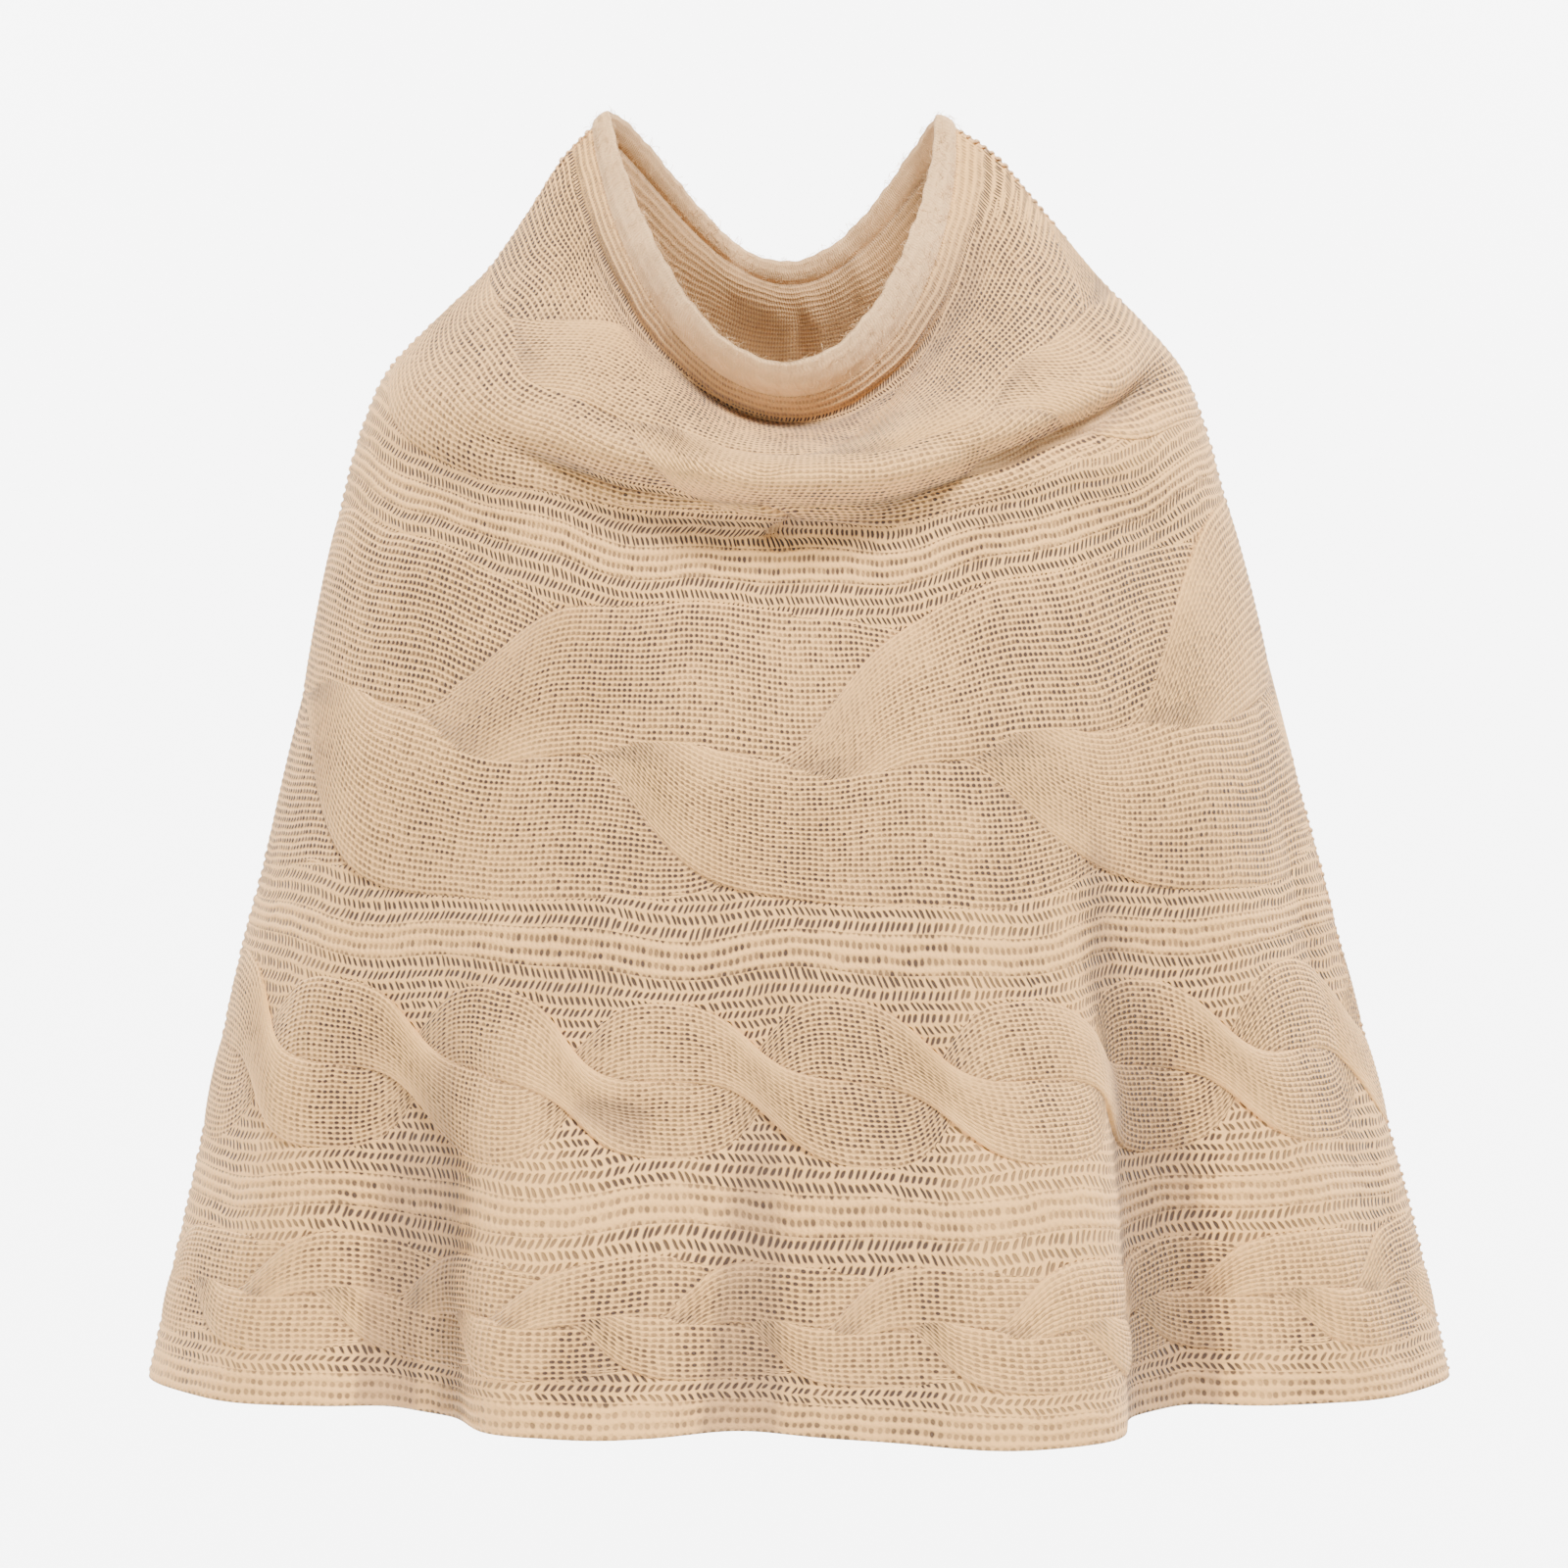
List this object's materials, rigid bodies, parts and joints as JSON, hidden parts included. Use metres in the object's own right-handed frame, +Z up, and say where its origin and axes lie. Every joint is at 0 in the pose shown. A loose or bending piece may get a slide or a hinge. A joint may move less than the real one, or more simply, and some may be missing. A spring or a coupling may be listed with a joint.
{
  "type": "knitted poncho sweater",
  "caption": "Loose cable-knit poncho with a draped cowl neck and an open, flared hem, hollow as worn over the shoulders and arms.",
  "frame": {"origin": "midway between the two shoulder tips, where the poncho rests on its wearer's shoulders", "axes": "+Z up, -Y towards the garment's front, +X towards the right as the front is seen"},
  "size_m": [0.7174, 0.4438, 0.6931],
  "materials": {
    "knit": "thick cable-knit wool yarn in a warm beige, matt and slightly hairy",
    "neck_knit": "the same yarn in a plain stocking stitch that rolls over at the neck edge"
  },
  "bodies": {
    "root": {"front": "knit", "back": "knit", "neck_band": "neck_knit"}
  },
  "joints": []
}
